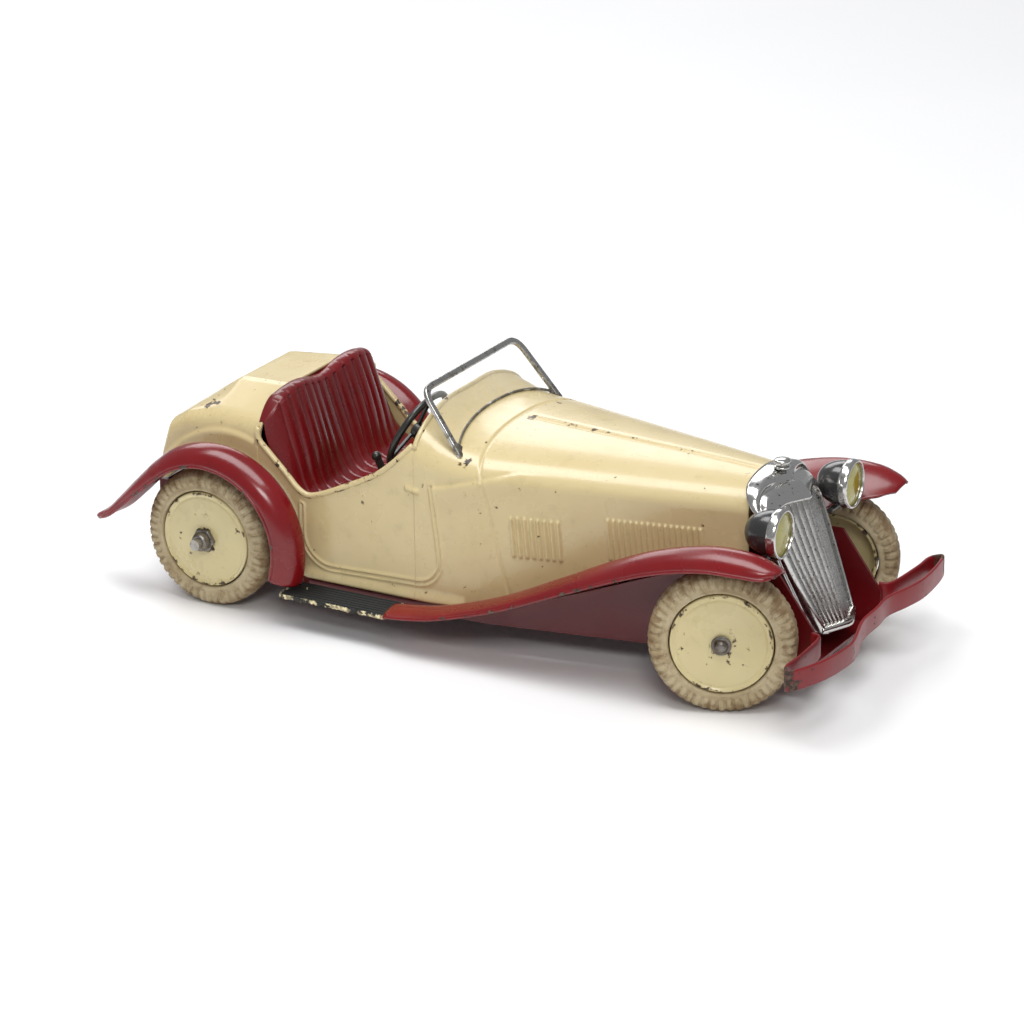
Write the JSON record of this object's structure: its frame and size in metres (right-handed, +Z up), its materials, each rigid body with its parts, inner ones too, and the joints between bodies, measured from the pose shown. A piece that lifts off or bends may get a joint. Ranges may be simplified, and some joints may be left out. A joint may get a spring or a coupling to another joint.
{
  "type": "wind up tin toy car",
  "caption": "Pressed-tin clockwork open sports car with steered front wheels, steering wheel, geared spring motor on the rear axle and winding key.",
  "frame": {"origin": "middle of the car's outline, on the ground it stands on", "axes": "+X forward, +Y to the car's left, +Z up"},
  "size_m": [0.2199, 0.09, 0.0689],
  "materials": {
    "cream_enamel": "aged gloss enamel on tinplate",
    "red_enamel": "deep red gloss enamel on tinplate",
    "bumper_red": "worn red enamel on spring steel",
    "seat_red": "dark red gloss enamel",
    "black_enamel": "black enamel",
    "plated_steel": "worn bright plating",
    "grille_plate": "dull bright plating",
    "lamp_black": "black enamel",
    "lamp_glass": "tinted yellow",
    "celluloid": "clear, yellowed",
    "rubber": "perished off-white rubber",
    "bare_steel": "dull bare steel",
    "spring_steel": "blued steel",
    "brass": "dull brass"
  },
  "bodies": {
    "car": {"chassis_pan": "red_enamel", "body_shell": "cream_enamel", "front_wing_left": "red_enamel", "front_wing_right": "red_enamel", "rear_wing_left": "red_enamel", "rear_wing_right": "red_enamel", "running_board_left": "black_enamel", "running_board_right": "black_enamel", "front_bumper": "bumper_red", "radiator_shell": "plated_steel", "radiator_grille": "grille_plate", "radiator_cap": "plated_steel", "headlamp_bowl_left": "lamp_black", "headlamp_bowl_right": "lamp_black", "headlamp_rim_left": "plated_steel", "headlamp_rim_right": "plated_steel", "headlamp_lens_left": "lamp_glass", "headlamp_lens_right": "lamp_glass", "headlamp_stalks": "lamp_black", "windscreen_frame": "plated_steel", "windscreen_pane": "celluloid", "seat": "seat_red", "front_axle_beam": "bare_steel", "kingpins": "bare_steel", "column_bracket": "bare_steel", "motor_plate_left": "bare_steel", "motor_plate_right": "bare_steel", "motor_pillars": "bare_steel", "motor_screws": "bare_steel", "mainspring": "spring_steel"},
    "knuckle_right": {"steering_knuckle_right": "bare_steel", "front_washer_right": "bare_steel"},
    "knuckle_left": {"steering_knuckle_left": "bare_steel", "front_washer_left": "bare_steel"},
    "front_wheel_right": {"front_disc_right": "cream_enamel", "front_tyre_right": "rubber"},
    "front_wheel_left": {"front_disc_left": "cream_enamel", "front_tyre_left": "rubber"},
    "steering_link": {"tie_rod": "bare_steel"},
    "column": {"steering_column": "black_enamel", "steering_wheel": "black_enamel"},
    "rear_wheels": {"rear_axle": "bare_steel", "rear_disc_left": "cream_enamel", "rear_disc_right": "cream_enamel", "rear_tyre_left": "rubber", "rear_tyre_right": "rubber", "rear_hub_nuts": "bare_steel", "axle_pinion": "brass"},
    "second_arbor": {"second_gear": "brass"},
    "first_arbor": {"first_gear": "brass"},
    "great_wheel": {"great_wheel": "brass"},
    "winder": {"winding_arbor": "bare_steel", "ratchet_wheel": "bare_steel", "winding_key": "bare_steel"},
    "click": {"click": "bare_steel"},
    "brake_lever": {"brake_lever": "black_enamel"}
  },
  "joints": [
    {"name": "steer_right", "type": "hinge", "parent": "car", "child": "knuckle_right", "pos_m": [0.078, -0.0292, 0.019], "axis": [0, 0, 1], "range_deg": [-47, 3]},
    {"name": "steer_left", "type": "hinge", "parent": "car", "child": "knuckle_left", "pos_m": [0.078, 0.0292, 0.019], "axis": [0, 0, 1], "range_deg": [-47, 3]},
    {"name": "tie_rod_slide", "type": "slide", "parent": "car", "child": "steering_link", "axis": [0, 1, 0], "range_m": [-0.00042, 0.00639]},
    {"name": "column_turn", "type": "hinge", "parent": "car", "child": "column", "pos_m": [0.046, -0.012, 0.01685], "axis": [-0.891, 0, 0.454], "range_deg": [-52.7, 3.4]},
    {"name": "front_wheel_right_spin", "type": "hinge", "parent": "knuckle_right", "child": "front_wheel_right", "pos_m": [0.078, -0.0292, 0.019], "axis": [-0.3746, 0.9272, 0], "continuous": true},
    {"name": "front_wheel_left_spin", "type": "hinge", "parent": "knuckle_left", "child": "front_wheel_left", "pos_m": [0.078, 0.0292, 0.019], "axis": [-0.3746, 0.9272, 0], "continuous": true},
    {"name": "rear_axle_spin", "type": "hinge", "parent": "car", "child": "rear_wheels", "pos_m": [-0.075, 0, 0.019], "axis": [0, 1, 0], "continuous": true},
    {"name": "second_arbor_spin", "type": "hinge", "parent": "car", "child": "second_arbor", "pos_m": [-0.0622, 0, 0.02126], "axis": [0, 1, 0], "continuous": true},
    {"name": "first_arbor_spin", "type": "hinge", "parent": "car", "child": "first_arbor", "pos_m": [-0.04941, 0, 0.01894], "axis": [0, 1, 0], "continuous": true},
    {"name": "great_wheel_spin", "type": "hinge", "parent": "car", "child": "great_wheel", "pos_m": [-0.0365, 0, 0.0205], "axis": [0, 1, 0], "continuous": true},
    {"name": "winding", "type": "hinge", "parent": "great_wheel", "child": "winder", "pos_m": [-0.0365, 0, 0.0205], "axis": [0, 1, 0], "range_deg": [-1440, 0]},
    {"name": "click_pivot", "type": "hinge", "parent": "great_wheel", "child": "click", "pos_m": [-0.0334, 0, 0.02587], "axis": [0, 1, 0], "range_deg": [-14, 0]},
    {"name": "brake_swing", "type": "hinge", "parent": "car", "child": "brake_lever", "pos_m": [-0.0236, -0.011, 0.0175], "axis": [0, 1, 0], "range_deg": [0, 10]}
  ],
  "couplings": [
    {"joint": "steer_left", "follows": "steer_right", "ratio": 1},
    {"joint": "tie_rod_slide", "follows": "steer_right", "m_per_rad": -0.007772},
    {"joint": "column_turn", "follows": "steer_right", "ratio": 1.119},
    {"joint": "second_arbor_spin", "follows": "rear_axle_spin", "ratio": -0.44444},
    {"joint": "first_arbor_spin", "follows": "rear_axle_spin", "ratio": 0.19753},
    {"joint": "great_wheel_spin", "follows": "rear_axle_spin", "ratio": -0.087791}
  ]
}
